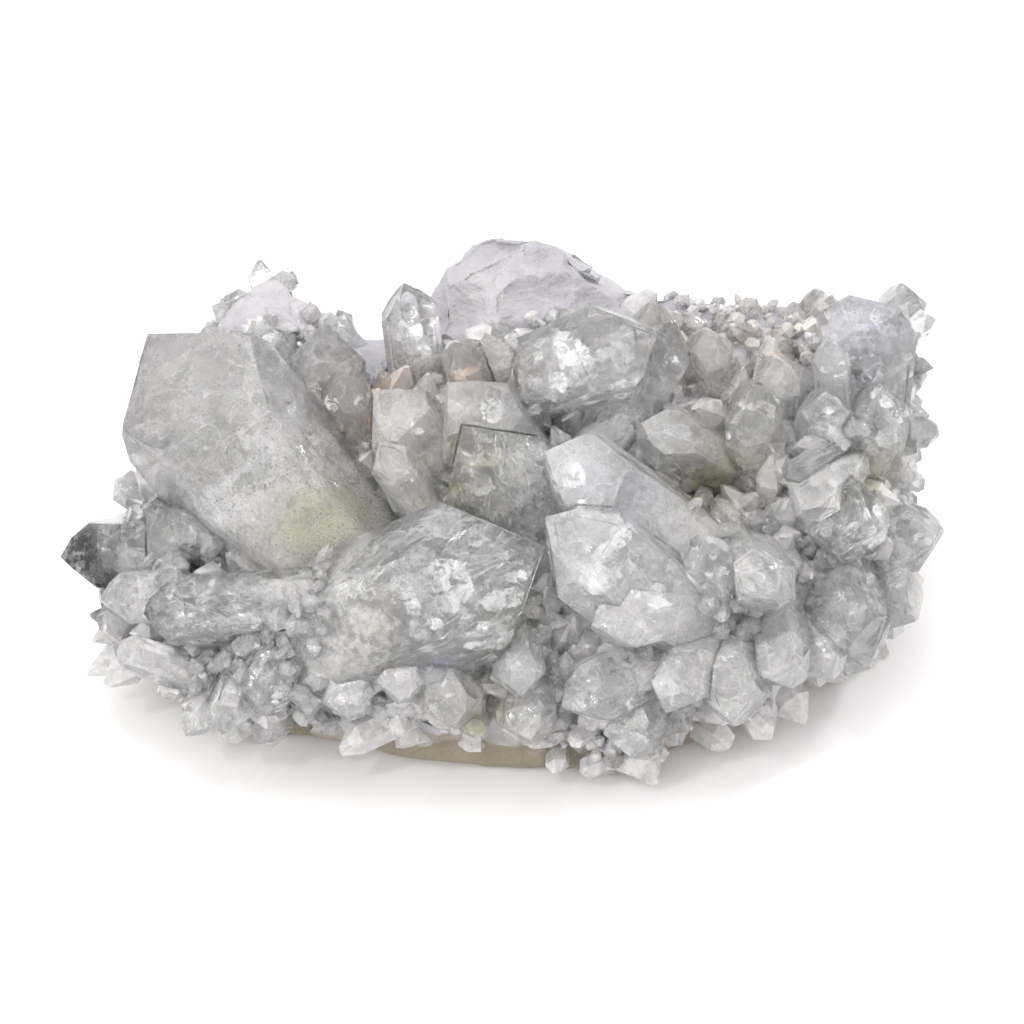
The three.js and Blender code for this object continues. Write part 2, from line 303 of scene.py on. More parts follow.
def quartz_finish(name, milk_low, milk_high, frost=0.0, milk=MILK, dust=0.0, lines=0.5, tilt=0.3):
    """A mix of glass and milk. The share of milk runs from low to high, frost dulls the gloss,
    dust adds dark grains, lines is the height of the growth lines, and tilt is how far the
    crack cells turn the light."""
    finish = Finish(name)
    along = finish.attribute("along")
    root = finish.attribute("root_share")
    bent, scale = broken_cells(finish, 3.2, 5.0)
    coarse = finish.cells(bent, scale)
    fine = finish.red(finish.cells(bent, scale * 3.1))
    crack = 1.0 - finish.fade(finish.cells(bent, scale, "DISTANCE_TO_EDGE", "Distance"), 0.0, 0.035)
    wisps = finish.noise(260, 3, 0.65, 0.6)
    cloud = finish.noise(90, 1, 0.5)
    grain = finish.noise(2600, 1, 0.5)
    crumbs = finish.noise(900, 3, 0.7)
    tone = (finish.fade(wisps, 0.35, 0.65) * 0.35 + finish.fade(crumbs, 0.35, 0.65) * 0.5
            + finish.red(coarse) * 0.15)
    facing = finish.add("ShaderNodeTexCoord", out="Normal")
    # Each facet gets one tone by the way it faces. It adds frost to the milk share, and it paints the
    # glass and milk colours lighter or darker facet by facet, as painted shade between facets.
    facet_frost_and_shade = finish.fade(finish.noise(2.3, 0, at=facing), 0.38, 0.62)
    specks = finish.fade(grain, 0.60, 0.68)
    grit = finish.fade(finish.noise(3400, 1, 0.5) + cloud * 0.16, 0.80 - dust, 0.86 - dust)
    share = (milk_low + (tone * 0.7 + root * 0.15 + facet_frost_and_shade * 0.5) * (milk_high - milk_low)
             + specks * 0.06 + crack * 0.12 + grit * 0.8).clamped()

    patchy = finish.fade(crumbs * 0.6 + wisps * 0.4, 0.40, 0.60)
    bright = finish.blend(finish.fade(tone, 0.25, 0.75), brighter(milk, 0.82), brighter(milk, 1.15))
    bright = finish.blend(facet_frost_and_shade * 0.5, bright, brighter(milk, 0.7))
    colour = finish.blend(share, finish.blend(facet_frost_and_shade, SHADED_GLASS, GLASS), bright)
    colour = finish.blend(grit * 0.85, stained_and_shadowed(finish, colour, patchy), DIRT)

    growth = finish.noise(1.0, 4, 0.75, at=finish.add(
        "ShaderNodeCombineXYZ", sockets={"X": along * 1100.0, "Y": 0.37, "Z": 0.11}))
    relief = growth * lines + cloud * 0.5 + crumbs * 0.3 + grain * 0.08
    outward = finish.add("ShaderNodeNewGeometry", out="Normal")
    leaning = finish.vector("NORMALIZE", finish.vector("ADD", outward, finish.vector(
        "MULTIPLY", finish.vector("SUBTRACT", coarse, (0.5, 0.5, 0.5)), (tilt,) * 3)))
    glass = finish.add("ShaderNodeBsdfPrincipled", sockets={
        "Base Color": colour, "Roughness": 0.02 + frost + fine * 0.08, "IOR": 1.5,
        "Transmission Weight": 1.0, "Normal": finish.bump(relief, 0.6, 0.0003, leaning)})
    milky = finish.add("ShaderNodeBsdfPrincipled", sockets={
        "Base Color": colour, "Roughness": 0.22 + frost + crumbs * 0.25, "IOR": 1.545,
        "Normal": finish.bump(relief + fine * 0.3, 0.5, 0.0003)})
    return finish.surface(finish.add("ShaderNodeMixShader", sockets={0: share, 1: glass, 2: milky}))


clear_quartz = quartz_finish("clear quartz", 0.0, 0.10)
dusty_quartz = quartz_finish("dusty clear quartz", 0.02, 0.17, 0.0, (0.46, 0.45, 0.445, 1), 0.10)
cloudy_quartz = quartz_finish("cloudy quartz", 0.03, 0.24)
frosted_quartz = quartz_finish("frosted quartz", 0.05, 0.30, 0.05, (0.66, 0.65, 0.70, 1))
worn_edge = quartz_finish("worn edge", 0.70, 1.0, 0.05, (0.86, 0.855, 0.86, 1))
sugar_quartz = quartz_finish("sugar quartz", 0.30, 0.75, 0.02, (0.66, 0.65, 0.65, 1))
print("quartz finishes:", [m.name for m in bpy.data.materials if "quartz" in m.name])

# %% [markdown]
# ## The crystals
# Each crystal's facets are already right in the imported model, as loose triangles. A copy is
# merged and its flat faces are made whole again. The edges get a narrow bevel with a whiter
# finish, because no real edge is perfectly sharp and a worn one catches the light.

# %% Helpers for modelling
def active(piece):
    bpy.ops.object.select_all(action="DESELECT")
    piece.select_set(True)
    bpy.context.view_layer.objects.active = piece

def edit(piece, mode="FACE"):
    active(piece)
    bpy.ops.object.mode_set(mode="EDIT")
    bpy.ops.mesh.select_mode(type=mode)
    bpy.ops.mesh.select_all(action="DESELECT")

def done():
    bpy.ops.object.mode_set(mode="OBJECT")

def apply_modifier(piece, kind, **settings):
    active(piece)
    modifier = piece.modifiers.new(kind.lower(), kind)
    for key, value in settings.items():
        setattr(modifier, key, value)
    bpy.ops.object.modifier_apply(modifier=modifier.name)

def copy_of(node, name):
    piece = bpy.data.objects.new(name, nodes[node].data.copy())
    scene.collection.objects.link(piece)
    piece.data.materials.clear()
    edit(piece)
    bpy.ops.mesh.select_all(action="SELECT")
    bpy.ops.mesh.remove_doubles(threshold=0.01 * MM)
    bpy.ops.mesh.dissolve_limited(angle_limit=math.radians(0.6))
    done()
    return piece

def hand_over(piece, node, slot):
    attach(piece, "root")
    if node:
        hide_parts(node)

# %% [markdown]
# ### The axis of a crystal
# Growth lines run round a crystal's axis, and the milk sits at its root, so each crystal's own
# axis is needed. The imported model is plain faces, but quartz's angles never change: six prism
# faces stand square to the axis, and six head faces lean from it by 51.8 degrees. So two faces
# give a trial axis, and the trial that explains the largest area is the axis.

# %% A crystal's axis, read from its faces
HEAD_LEAN = math.cos(math.radians(51.8))

def flat_faces(mesh):
    """The crystal's flat faces, as [normal, area], largest first."""
    found = []
    for polygon in mesh.polygons:
        for entry in found:
            if entry[0].dot(polygon.normal) > 0.9995:
                entry[1] += polygon.area
                break
        else:
            found.append([polygon.normal.copy(), polygon.area])
    return sorted(found, key=lambda entry: -entry[1])

def crystal_axis(mesh):
    """Six prism faces stand round the axis, and six head faces lean from it."""
    faces = flat_faces(mesh)[:12]
    best, best_area = Vector((0, 0, 1)), -1.0
    for i, (first, _) in enumerate(faces):
        for second, _ in faces[i + 1:]:
            axis = first.cross(second)
            if axis.length < 0.2:
                continue
            axis.normalize()
            for trial in (axis, -axis):
                area = sum(size for normal, size in faces
                           if min(abs(normal.dot(trial)), abs(normal.dot(trial) - HEAD_LEAN)) < 0.004)
                if area > best_area * 1.0001:
                    best, best_area = trial, area
    return best

def mark_growth(piece, axis):
    """Writes how far each point is up the axis, and how near it is to the root."""
    heights = [vertex.co.dot(axis) for vertex in piece.data.vertices]
    low, high = min(heights), max(heights)
    along = piece.data.attributes.new("along", "FLOAT", "POINT")
    share = piece.data.attributes.new("root_share", "FLOAT", "POINT")
    along.data.foreach_set("value", heights)
    share.data.foreach_set("value", [1 - (h - low) / (high - low) for h in heights])

# %% [markdown]
# ### Growth plates
# Quartz grows in thin layers that stop short of a face's edge. So some of the larger faces are
# inset twice, and the inner part is sunk by a hair, which leaves a low step inside the edge. It
# is done on plain faces only, because an inset folds over itself at a very short edge.

# %% Growth plates
def plain_face(mesh, polygon):
    """True if a face is convex, has no sharp corner and no very short edge."""
    corners = [mesh.vertices[i].co for i in polygon.vertices]
    for before, corner, after in zip(corners, corners[1:] + corners[:1], corners[2:] + corners[:2]):
        first, second = before - corner, after - corner
        if min(first.length, second.length) < 0.8 * MM:
            return False
        if not 0.9 < first.angle(second) < 3.0 or second.cross(first).dot(polygon.normal) < 0:
            return False
    return True

def growth_plates(piece, chance):
    """Sinks a thin layer into some of the larger faces, inside a narrow border."""
    mesh = piece.data
    wanted = [p.center.copy() for p in mesh.polygons
              if p.area > 10 * MM * MM and plain_face(mesh, p) and chance.random() < 0.6]
    for centre in wanted:
        nearest = min(mesh.polygons, key=lambda p: (p.center - centre).length)
        border = math.sqrt(nearest.area) * chance.uniform(0.05, 0.13)
        edit(piece)
        done()
        nearest = min(mesh.polygons, key=lambda p: (p.center - centre).length)
        nearest.select = True
        bpy.ops.object.mode_set(mode="EDIT")
        bpy.ops.mesh.inset(thickness=border)
        bpy.ops.mesh.inset(thickness=0.15 * MM, depth=-chance.uniform(0.10, 0.22) * MM)
        done()

# %% [markdown]
# ### All the crystals
# Every crystal goes through the same steps: copy, plates, worn edges, growth attributes, finish.
# Only the great crystal, which was knocked about most, has wider worn edges.

# %% Making the crystals
EDGE_WIDTH = 0.45 * MM
GREAT_EDGE_WIDTH = 0.9 * MM
EDGE_SHARE = 0.035
FINISHES = {
    "great_crystal": dusty_quartz, "olive_head": clear_quartz, "frosted": frosted_quartz,
    "wide_prism": frosted_quartz, "white_bars": frosted_quartz,
}
crystals, crystal_axes = {}, {}
for number, name in enumerate(crystal_names):
    piece = copy_of(name, "quartz." + name)
    axis = crystal_axis(piece.data)
    growth_plates(piece, random.Random(number))
    edge = min(EDGE_WIDTH, EDGE_SHARE * min(piece.dimensions))
    if name == "great_crystal":
        edge = GREAT_EDGE_WIDTH
    apply_modifier(piece, "BEVEL", width=edge, segments=2,
                   limit_method="ANGLE", angle_limit=math.radians(18), use_clamp_overlap=True,
                   material=1)
    mark_growth(piece, axis)
    crystal_axes[name] = axis
    active(piece)
    bpy.ops.object.shade_smooth_by_angle(angle=math.radians(28))
    usual = clear_quartz if slot_of[name] == "clear_quartz" else cloudy_quartz
    piece.data.materials.append(FINISHES.get(name, usual))
    piece.data.materials.append(worn_edge)
    hand_over(piece, name, slot_of[name])
    crystals[name] = piece
print("crystals made:", len(crystals), "faces:", sum(len(p.data.polygons) for p in crystals.values()))

# %% [markdown]
# ## Inside the crystals
# A clear crystal of quartz is seldom empty. Its root is a cloud of bubbles that thins out
# towards the tip, and where it was knocked it has cracks, whose two walls mirror the light like
# silver foil. The cloud is made from the crystal's own shape, drawn in towards its root and
# made soft and uneven. The cracks are thin curved flakes, modelled a few times and then copied
# into every crystal that is big enough to hold them.

# %% Finishes of the clouds and the cracks
def cloud_finish(name, root_weight, low, high):
    finish = Finish(name)
    lumps = finish.noise(260, 3, 0.65, 0.8)
    fine = finish.noise(1000, 4, 0.75, 0.5)
    tone = finish.fade(lumps * 0.5 + fine * 0.5, 0.38, 0.62)
    colour = finish.blend(tone, (0.70, 0.695, 0.69, 1), (0.90, 0.895, 0.90, 1))
    colour = stained_and_shadowed(finish, colour)
    thick = lumps * 0.35 + fine * 0.4 + finish.attribute("root_share") * root_weight
    return finish.surface(finish.add("ShaderNodeBsdfPrincipled", sockets={
        "Base Color": colour, "Roughness": 0.4 + fine * 0.3,
        "Alpha": finish.fade(thick, low, high),
        "Normal": finish.bump(lumps + fine * 0.6, 0.9, 0.0008)}))

def crack_finish():
    finish = Finish("silvery crack")
    ragged = finish.noise(700, 4, 0.7, 0.5)
    tone = finish.fade(finish.noise(160, 3, 0.5), 0.35, 0.65)
    return finish.surface(finish.add("ShaderNodeBsdfPrincipled", sockets={
        "Base Color": finish.blend(tone, (0.72, 0.73, 0.76, 1), (0.97, 0.97, 0.98, 1)),
        "Metallic": 0.85, "Roughness": 0.10 + ragged * 0.35,
        "Alpha": finish.fade(ragged, 0.42, 0.52),
        "Normal": finish.bump(ragged, 0.6, 0.0004)}))

milky_cloud = cloud_finish("milky cloud", 0.40, 0.50, 0.68)
milky_veil = cloud_finish("milky veil", 0.25, 0.46, 0.66)
silvery_crack = crack_finish()
speck_finish = Finish("black inclusion")
speck_grain = speck_finish.noise(1500, 3, 0.6)
black_speck = speck_finish.surface(speck_finish.add("ShaderNodeBsdfPrincipled", sockets={
    "Base Color": speck_finish.blend(speck_grain, (0.010, 0.010, 0.011, 1), (0.09, 0.09, 0.10, 1)),
    "Roughness": 0.15 + speck_grain * 0.4, "Normal": speck_finish.bump(speck_grain, 0.5, 0.0003)}))

print("inside finishes:", milky_cloud.name, milky_veil.name, silvery_crack.name, black_speck.name)

# %% Clouds at the roots
SMALLEST_CLOUDED = 11 * MM
CLOUD_SHARE = 0.86

def box_of(mesh):
    places = [vertex.co for vertex in mesh.vertices]
    low = Vector([min(place[i] for place in places) for i in range(3)])
    high = Vector([max(place[i] for place in places) for i in range(3)])
    return low, high

def joined(planted, name):
    bpy.ops.object.select_all(action="DESELECT")
    for copy in planted:
        copy.select_set(True)
    bpy.context.view_layer.objects.active = planted[0]
    bpy.ops.object.join()
    planted[0].name = name
    return planted[0]

clouds = []
for name in crystal_names:
    axis = crystal_axes[name]
    low, high = box_of(nodes[name].data)
    if (high - low).length < SMALLEST_CLOUDED or name == "black_tip":
        continue
    cloud = copy_of(name, "cloud")
    places = [vertex.co.copy() for vertex in cloud.data.vertices]
    middle = sum(places, Vector()) / len(places)
    depth = min(place.dot(axis) for place in places) - middle.dot(axis)
    root = middle + axis * depth * 0.55
    shrink = Matrix.Translation(root) @ Matrix.Scale(CLOUD_SHARE, 4) @ Matrix.Translation(-root)
    cloud.data.transform(shrink)
    apply_modifier(cloud, "REMESH", mode="VOXEL", voxel_size=0.9 * MM)
    texture = bpy.data.textures.new("cloud lumps", "CLOUDS")
    texture.noise_scale = 4 * MM
    apply_modifier(cloud, "DISPLACE", texture=texture, strength=2.4 * MM, mid_level=1.0)
    mark_growth(cloud, axis)
    clouds.append(cloud)
cloud_piece = joined(clouds, "milky_clouds")
cloud_piece.data.materials.clear()
cloud_piece.data.materials.append(milky_cloud)
active(cloud_piece)
bpy.ops.object.shade_smooth()
hand_over(cloud_piece, None, "cloudy_quartz")
print("clouds:", len(clouds), "faces:", len(cloud_piece.data.polygons))

# %% [markdown]
# ### Veils, cracks and specks
# They must stay inside their crystal, so a point is tested first: a line upwards from a point
# inside crosses the crystal's surface an odd number of times. Then thin curved flakes are strewn
# at random, and one that pokes out is left out. Bubbles healed into veils all lie about one
# plane in a crystal, so each crystal's flakes share a main direction.

# %% Is a point inside a crystal?
def tree_of(mesh):
    return BVHTree.FromPolygons([v.co for v in mesh.vertices], [p.vertices for p in mesh.polygons])

crystal_trees = {name: (*box_of(nodes[name].data), tree_of(nodes[name].data)) for name in crystal_names}

def holds(name, point):
    """Counts the faces above the point: an odd number of them means it is inside."""
    low, high, tree = crystal_trees[name]
    if any(point[i] < low[i] or point[i] > high[i] for i in range(3)):
        return False
    crossings, start = 0, point.copy()
    while True:
        place, _, _, _ = tree.ray_cast(start, Vector((0.013, 0.021, 1)))
        if place is None:
            return crossings % 2 == 1
        crossings += 1
        start = place + Vector((0, 0, 0.001 * MM))

def inside_crystal(point):
    return any(holds(name, point) for name in crystal_names)

# %% Flake models
def flake(name, corners, curl):
    """A thin curved plate a unit across, round the origin."""
    bpy.ops.object.select_all(action="DESELECT")
    bpy.ops.mesh.primitive_circle_add(vertices=corners, radius=0.5, fill_type="TRIFAN")
    piece = bpy.context.object
    piece.name = name
    edit(piece)
    bpy.ops.mesh.select_all(action="SELECT")
    bpy.ops.mesh.subdivide(number_cuts=1, fractal=0.5, seed=corners)
    done()
    for vertex in piece.data.vertices:
        vertex.co.z = curl * (vertex.co.x ** 2 + 0.4 * vertex.co.y)
    edit(piece)
    bpy.ops.mesh.select_all(action="SELECT")
    bpy.ops.mesh.extrude_region_move(TRANSFORM_OT_translate={"value": (0, 0, 0.02)})
    bpy.ops.mesh.select_all(action="SELECT")
    bpy.ops.mesh.normals_make_consistent(inside=False)
    done()
    return piece

flakes = [flake(f"flake {i}", corners, curl) for i, (corners, curl) in enumerate(
    [(5, 0.3), (6, 0.6), (7, 0.2), (8, -0.5)])]

# %% Veils and cracks in every crystal that can hold them
def strew(name, finish, sizes, room, most, names=crystal_names, above=0.0):
    """Copies flakes into the crystals, in one main direction in each, and joins them.
    Each flake gets this much room in cubic millimetres, and its size is a share of the width."""
    planted = []
    for crystal in names:
        low, high, _ = crystal_trees[crystal]
        axis = crystal_axes[crystal]
        span = high - low
        heights = [vertex.co.dot(axis) for vertex in nodes[crystal].data.vertices]
        floor_height = min(heights) + above * (max(heights) - min(heights))
        fan = Vector([chance.gauss(0, 1) for _ in range(3)]).normalized()
        for _ in range(min(most, int(span.x * span.y * span.z / MM ** 3 / room))):
            place = Vector([chance.uniform(low[i], high[i]) for i in range(3)])
            normal = (fan + Vector([chance.gauss(0, 0.5) for _ in range(3)])).normalized()
            size = chance.uniform(*sizes) * min(span)
            turn = normal.to_track_quat("Z", "Y").to_matrix().to_4x4()
            stretch = Matrix.Diagonal((size, size * chance.uniform(0.35, 1.0), size, 1))
            matrix = Matrix.Translation(place) @ turn @ stretch
            model = chance.choice(flakes)
            if place.dot(axis) > floor_height and holds(crystal, place) and all(
                    holds(crystal, matrix @ vertex.co) for vertex in model.data.vertices):
                copy = bpy.data.objects.new("flake", model.data.copy())
                copy.data.transform(matrix)
                scene.collection.objects.link(copy)
                mark_growth(copy, axis)
                planted.append(copy)
    count = len(planted)
    piece = joined(planted, name)
    piece.data.materials.clear()
    piece.data.materials.append(finish)
    hand_over(piece, None, "cloudy_quartz")
    print(name, "flakes:", count, "faces:", len(piece.data.polygons))


chance = random.Random(3)
unblackened = [name for name in crystal_names if name != "black_tip"]
strew("milky_veils", milky_veil, (0.35, 0.75), 30, 90, unblackened)
strew("silvery_cracks", silvery_crack, (0.10, 0.38), 25, 120)
strew("head_cracks", silvery_crack, (0.08, 0.30), 8, 1400, ["front_clear", "olive_head"], 0.55)
strew("great_cracks", silvery_crack, (0.05, 0.20), 40, 350, ["great_crystal"], 0.45)
strew("root_cracks", silvery_crack, (0.08, 0.34), 4, 500,
      ["cross_crystal", "sparkle_wedge", "bright_flake"])
strew("black_specks", black_speck, (0.10, 0.36), 0.5, 1400, ["black_tip"], 0.50)
for model in flakes:
    bpy.data.objects.remove(model)

# %% [markdown]
# ## The rock
# The rock is massive quartz, full of bubbles and so milky white. It broke off a larger mass, so
# its outside is a broken surface: broad hollows and humps, then smaller ones, then grain. Its
# faces that point down, and all of it near the table, are painted dark brown: painted shade, with
# a brown tint. Where crystals stand on it or in it, it is painted near white: painted light for
# the light that would come through the crystals. The imported rock is remeshed into small even
# faces, and two textures sink them, but not at the flat foot it rests on.

# %% Rock finish
def rock_finish():
    finish = Finish("milky quartz rock")
    facing = finish.add("ShaderNodeSeparateXYZ", sockets={
        "Vector": finish.add("ShaderNodeNewGeometry", out="Normal")}, out="Z")
    height = finish.add("ShaderNodeSeparateXYZ", sockets={"Vector": finish.place}, out="Z")
    broad = finish.noise(70, 4, 0.6, 0.6)
    fine = finish.noise(420, 5, 0.7)
    grain = finish.noise(2000, 3, 0.65)
    pits = 1.0 - finish.fade(finish.cells(finish.place, 900, "F1", "Distance"), 0.0, 0.35)
    milk = finish.blend(finish.fade(broad, 0.3, 0.7), (0.33, 0.325, 0.36, 1), (0.47, 0.46, 0.50, 1))
    warm = finish.fade(fine * 0.5 + broad * 0.5, 0.52, 0.64)
    colour = finish.blend(warm * 0.4, milk, (0.58, 0.53, 0.47, 1))
    # Painted shade: faces that point down, and the rock near the table, turn dark brown, with a brown
    # tint.
    underside_shade = finish.fade(facing * -0.6 + (0.011 - height) * 130.0, 0.1, 0.9)
    # Painted light: where crystals stand on or in the rock it is painted near white, for the light that
    # would reach it through the crystals.
    colour = finish.blend(finish.attribute("painted_light_at_crystals"), colour, (0.90, 0.90, 0.90, 1))
    colour = finish.blend(underside_shade, colour, (0.21, 0.175, 0.115, 1))
    colour = finish.blend(pits * finish.fade(grain, 0.45, 0.6) * 0.5, colour, (0.24, 0.235, 0.25, 1))
    relief = broad * 0.6 + fine * 1.0 + grain * 0.5 - pits * 0.2
    return finish.surface(finish.add("ShaderNodeBsdfPrincipled", sockets={
        "Base Color": colour, "Roughness": 0.5 + grain * 0.25, "IOR": 1.545,
        "Subsurface Weight": 0.3, "Subsurface Radius": (1.0, 1.0, 1.0),
        "Subsurface Scale": 0.0012, "Normal": finish.bump(relief, 0.7, 0.0009)}))

# %% Rock shape
VOXEL = 0.6 * MM
FOOT = 0.6 * MM
FOOT_FADE = 3 * MM
COVER_REACH = 0.9 * MM

def merged(pieces):
    """All the points and faces of several pieces, as one mesh."""
    points, faces = [], []
    for piece in pieces:
        start = len(points)
        points += [vertex.co for vertex in piece.data.vertices]
        faces += [[start + i for i in polygon.vertices] for polygon in piece.data.polygons]
    return points, faces

rock = copy_of("rock", "milky_rock")
apply_modifier(rock, "REMESH", mode="VOXEL", voxel_size=VOXEL)
lift = rock.vertex_groups.new(name="lift")
for vertex in rock.data.vertices:
    lift.add([vertex.index], min(1.0, max(0.0, (vertex.co.z - FOOT) / FOOT_FADE)), "REPLACE")

def roughen(piece, kind, size, strength, **settings):
    texture = bpy.data.textures.new("rock " + kind.lower(), kind)
    texture.noise_scale = size
    for key, value in settings.items():
        setattr(texture, key, value)
    apply_modifier(piece, "DISPLACE", texture=texture, strength=strength, mid_level=1.0,
                   vertex_group="lift")

roughen(rock, "VORONOI", 7 * MM, 2.4 * MM)
roughen(rock, "CLOUDS", 3.0 * MM, 2.0 * MM, noise_depth=4)
for vertex in rock.data.vertices:
    vertex.co.x = min(max(vertex.co.x, cad_box[0][0]), cad_box[1][0])
    vertex.co.y = min(max(vertex.co.y, cad_box[0][1]), cad_box[1][1])
    vertex.co.z = min(max(vertex.co.z, 0.0), cad_box[1][2])
# Rock within reach of a crystal is marked here, so that its finish paints light on it.
everything_grown = BVHTree.FromPolygons(*merged([nodes[name] for name in crystal_names]))
painted_light_at_crystals = rock.data.attributes.new("painted_light_at_crystals", "FLOAT", "POINT")
painted_light_at_crystals.data.foreach_set("value", [
    float(everything_grown.find_nearest(vertex.co)[3] < COVER_REACH) for vertex in rock.data.vertices])
active(rock)
bpy.ops.object.shade_smooth()
rock.data.materials.append(rock_finish())
hand_over(rock, "rock", "milky_rock")
print("rock faces:", len(rock.data.polygons))

# %% [markdown]
# ## The sugar of small crystals
# Between the named crystals the rock bristles with small ones, from a millimetre to about five.
# They are all the same habit, six sides and a pointed head, so a few are modelled once, with
# different heads, and copied all over the exposed rock. Each copy stands out of the surface
# under it, leaning at random towards the open front. They are joined into one piece for each
# size, so that the model stays easy to handle. In a deep hollow they grow taller, as they do
# where there is room, and they fill it.

# %% Small crystal models
def small_crystal(name, head_height, chisel, skew):
    """One crystal, a unit across and two long, standing on the origin."""
    bpy.ops.object.select_all(action="DESELECT")
    bpy.ops.mesh.primitive_cylinder_add(vertices=6, radius=0.5, depth=1.6, location=(0, 0, 0.2))
    piece = bpy.context.object
    piece.name = name
    edit(piece)
    done()
    for polygon in piece.data.polygons:
        polygon.select = polygon.normal.z > 0.9
    bpy.ops.object.mode_set(mode="EDIT")
    bpy.ops.mesh.extrude_region_move(TRANSFORM_OT_translate={"value": (skew, 0, head_height)})
    bpy.ops.transform.resize(value=(chisel, 0.12, 1))
    done()
    return piece

SHAPES = [(0.50, 0.14, 0.06), (0.42, 0.45, 0.00), (0.55, 0.20, 0.16), (0.30, 0.60, 0.10),
          (0.46, 0.30, -0.14)]
models = [small_crystal(f"small {i}", *shape) for i, shape in enumerate(SHAPES)]

# %% Where they stand
FRONT = Vector((0, -0.62, 0.78))

def spots_on(piece, count, chance, wanted):
    """Random spots on a piece's faces, larger faces more often, with the normal there."""
    faces = [p for p in piece.data.polygons if wanted(p.center, p.normal)]
    for polygon in chance.choices(faces, weights=[p.area for p in faces], k=count):
        yield polygon.center.copy(), polygon.normal.copy()

everything = [nodes[name] for name in crystal_names] + [rock]
surface = BVHTree.FromPolygons(*merged(everything))
ACROSS = Vector((1, 0, 0))
UPWARD = FRONT.cross(ACROSS).normalized()

PROBES = (4 * MM, 8 * MM)
FAR = 0.2

def pocket_depth(place):
    """How far the surface round a place stands in front of it, in metres."""
    heights = []
    for reach in PROBES:
        for step in range(6):
            angle = step * math.pi / 3 + reach * 200
            aside = (ACROSS * math.cos(angle) + UPWARD * math.sin(angle)) * reach
            start = place + aside + FRONT * FAR
            hit, _, _, _ = surface.ray_cast(start, -FRONT)
            if hit:
                heights.append((hit - place).dot(FRONT))
    heights.sort()
    return heights[len(heights) // 2] if heights else 0.0

def in_box(place):
    return all(cad_box[0][i] < place[i] < cad_box[1][i] for i in range(3))

DEEP = 1.5 * MM
DEEPEST = 12 * MM
# Near the foot they are shorter: this share at the table, and all of it well above it.
FOOT_SHARE = 0.45
FULL_HEIGHT = 16 * MM

def grow(name, spots, across, slim, lean, chance, finish, slot="cloudy_quartz"):
    """Plants a small crystal on each spot and joins them into one piece."""
    planted = []
    for place, normal in spots:
        if inside_crystal(place + normal * 0.3 * MM):
            continue
        size = across[0] * (across[1] / across[0]) ** (chance.random() ** 1.6) * MM
        wander = Vector([chance.gauss(0, 1) for _ in range(3)]) * lean
        axis = (normal + FRONT * 0.45 + wander).normalized()
        tall = size * chance.uniform(*slim)
        deep = pocket_depth(place)
        if deep > DEEP and normal.dot(FRONT) > 0.6:
            tall = max(tall, min(deep, DEEPEST) * chance.uniform(0.35, 0.62))
            size = max(size, tall * 0.75)
        tall *= min(1.0, FOOT_SHARE + place.z / FULL_HEIGHT)
        turn = axis.to_track_quat("Z", "Y").to_matrix() @ Matrix.Rotation(chance.uniform(0, 6.3), 3, "Z")
        stretch = Matrix.Diagonal((size, size * chance.uniform(0.75, 1.0), tall, 1))
        matrix = Matrix.Translation(place) @ turn.to_4x4() @ stretch
        model = chance.choice(models)
        if not all(in_box(matrix @ vertex.co) for vertex in model.data.vertices):
            continue
        copy = bpy.data.objects.new(name, model.data.copy())
        copy.data.transform(matrix)
        scene.collection.objects.link(copy)
        planted.append(copy)
    count = len(planted)
    piece = joined(planted, name)
    mark_growth(piece, FRONT)
    piece.data.materials.clear()
    piece.data.materials.append(finish)
    hand_over(piece, None, slot)
    print(name, "crystals:", count, "faces:", len(piece.data.polygons))
    return piece

def exposed(place, normal):
    if place.z < 2 * MM or normal.z < -0.25:
        return False
    on_back = place.y > 20 * MM and -20 * MM < place.x < 24 * MM
    bare_foot = place.y < -18 * MM and -30 * MM < place.x < 6 * MM and place.z < 8 * MM
    return not (on_back or bare_foot) and (normal.dot(FRONT) > 0.15 or normal.x > 0.5)

def crusted(place, normal):
    bare_left = place.y > 6 * MM and place.x < -14 * MM and place.z > 30 * MM
    return exposed(place, normal) and not bare_left

# %% [markdown]
# ### The larger crystals in the hollows
# Some crystals between the named ones are nearly as large as they are. They are listed one by one,
# from root to tip, and made from the same models with the worn edges of the named ones.

# %% The larger crystals in the hollows, as root, tip and width in millimetres
FILLERS = [
    ((27.6, 7.5, 18), (23.6, -1.5, 31), 9.5), ((32.6, -3.5, 20), (30.6, -12.5, 27), 7.5),
    ((41.6, 2.5, 14), (40.6, -5.5, 26), 8.5), ((10.6, -10.5, 10), (7.6, -20.5, 22), 9.0),
    ((5.6, -14.5, 14), (3.6, -26.5, 22), 6.5), ((-30.4, -11.5, 18), (-37.4, -15.5, 28), 7.5),
    ((32.6, 25.5, 30), (30.6, 18.5, 41), 8.0), ((36.6, 20.5, 28), (34.6, 12.5, 40), 7.5),
    ((41.6, 26.5, 31), (40.6, 20.5, 41), 7.0), ((-22.4, -20.5, 12), (-24.4, -30.5, 17), 7.0),
    ((21.6, -16.5, 12), (17.6, -26.5, 20), 7.0), ((-10.4, 6.5, 28), (-11.4, 1.5, 38), 6.5),
    ((36.6, -10.5, 14), (33.6, -18.5, 24), 7.0), ((-40.4, 14.5, 24), (-45.4, 12.5, 34), 7.0),
]
fillers = []
for number, (root, tip, across) in enumerate(FILLERS):
    root, tip = Vector(root) * MM, Vector(tip) * MM
    axis = (tip - root).normalized()
    turn = axis.to_track_quat("Z", "Y").to_matrix() @ Matrix.Rotation(number * 0.7, 3, "Z")
    size = Matrix.Diagonal((across * MM, across * 0.9 * MM, (tip - root).length / 1.5, 1))
    copy = bpy.data.objects.new("filler", models[number % len(models)].data.copy())
    copy.data.transform(Matrix.Translation(root) @ turn.to_4x4() @ size)
    scene.collection.objects.link(copy)
    mark_growth(copy, axis)
    fillers.append(copy)
filler_piece = joined(fillers, "hollow_crystals")
filler_piece.data.materials.clear()
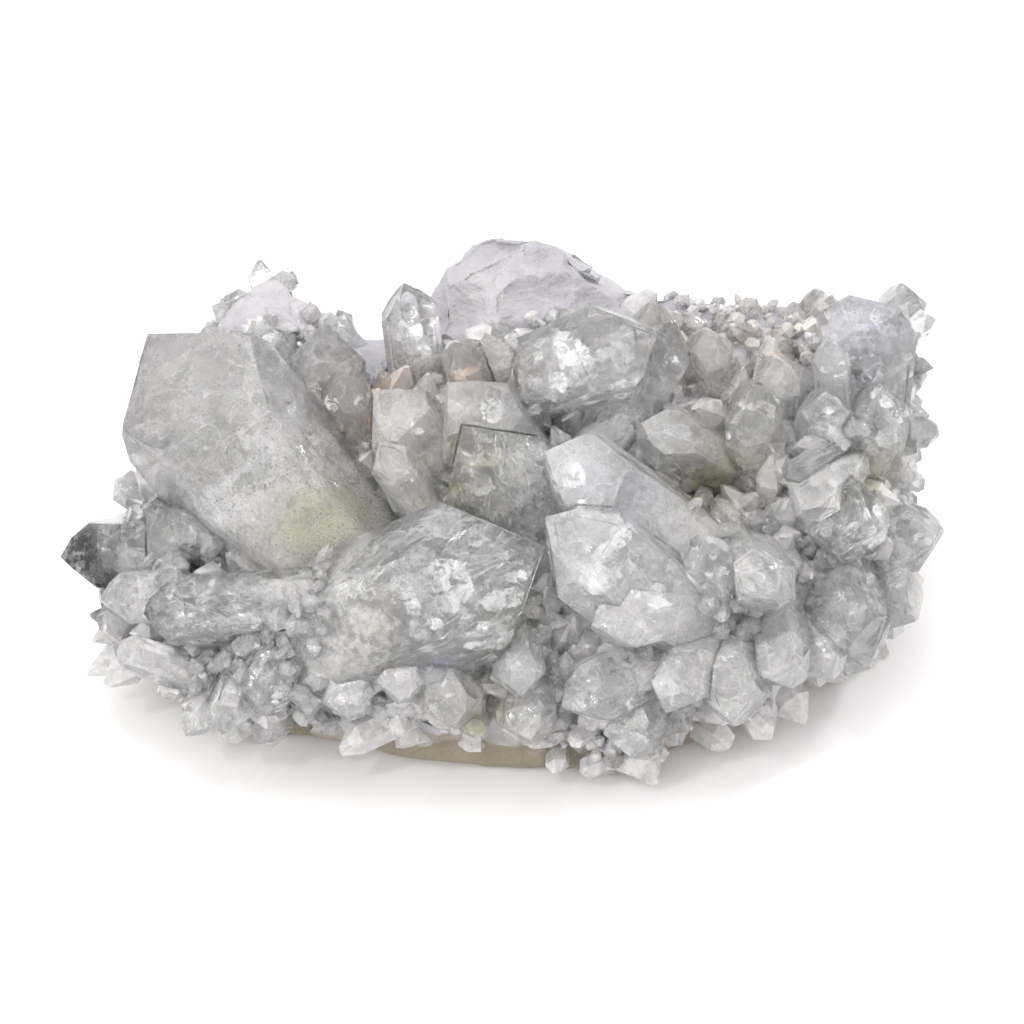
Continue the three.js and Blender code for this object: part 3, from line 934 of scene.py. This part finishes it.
apply_modifier(filler_piece, "BEVEL", width=0.25 * MM, segments=2, limit_method="ANGLE",
               angle_limit=math.radians(18), material=1)
filler_piece.data.materials.append(cloudy_quartz)
filler_piece.data.materials.append(worn_edge)
active(filler_piece)
bpy.ops.object.shade_smooth_by_angle(angle=math.radians(28))
hand_over(filler_piece, None, "cloudy_quartz")
print("crystals in the hollows:", len(fillers))

# %% [markdown]
# ### The sugar itself
# Three sizes, the larger first: on the rock, on the lower flanks of the named crystals, and then
# the finest on what rock is still bare.

# %% The sugar
chance = random.Random(7)
grow("druse.large", spots_on(rock, 750, chance, exposed), (2.0, 4.0), (0.5, 1.1), 0.45, chance,
     cloudy_quartz)

def low_flank(piece):
    share = piece.data.attributes["root_share"].data
    def wanted(place, normal):
        return normal.dot(FRONT) > -0.2 and place.z > 3 * MM
    faces = [p for p in piece.data.polygons if wanted(p.center, p.normal)]
    for polygon in faces:
        corners = [piece.data.vertices[i].co for i in polygon.vertices]
        shares = [share[i].value for i in polygon.vertices]
        for _ in range(min(14, 1 + int(polygon.area / (9 * MM * MM)))):
            weights = [chance.random() ** 2 for _ in corners]
            total = sum(weights)
            place = sum((corner * w for corner, w in zip(corners, weights)), Vector()) / total
            if chance.random() < sum(s * w for s, w in zip(shares, weights)) / total - 0.62:
                yield place, polygon.normal.copy()

flank_spots = [spot for piece in crystals.values() for spot in low_flank(piece)]
grow("druse.flanks", flank_spots, (1.5, 3.6), (0.5, 1.0), 0.5, chance, cloudy_quartz)
grow("druse.small", spots_on(rock, 3200, chance, crusted), (0.9, 2.6), (0.5, 1.0), 0.6, chance,
     sugar_quartz)
for model in models:
    bpy.data.objects.remove(model)

# %% [markdown]
# ## The table
# The cluster lies on a plain pale table, which isn't part of it.

# %% Floor
bpy.ops.mesh.primitive_plane_add(size=4)
floor = bpy.context.object
floor.name = "floor"
floor_finish = Finish("pale table")
floor.data.materials.append(floor_finish.surface(floor_finish.add("ShaderNodeBsdfPrincipled", sockets={
    "Base Color": (0.88, 0.88, 0.88, 1), "Roughness": 0.6})))
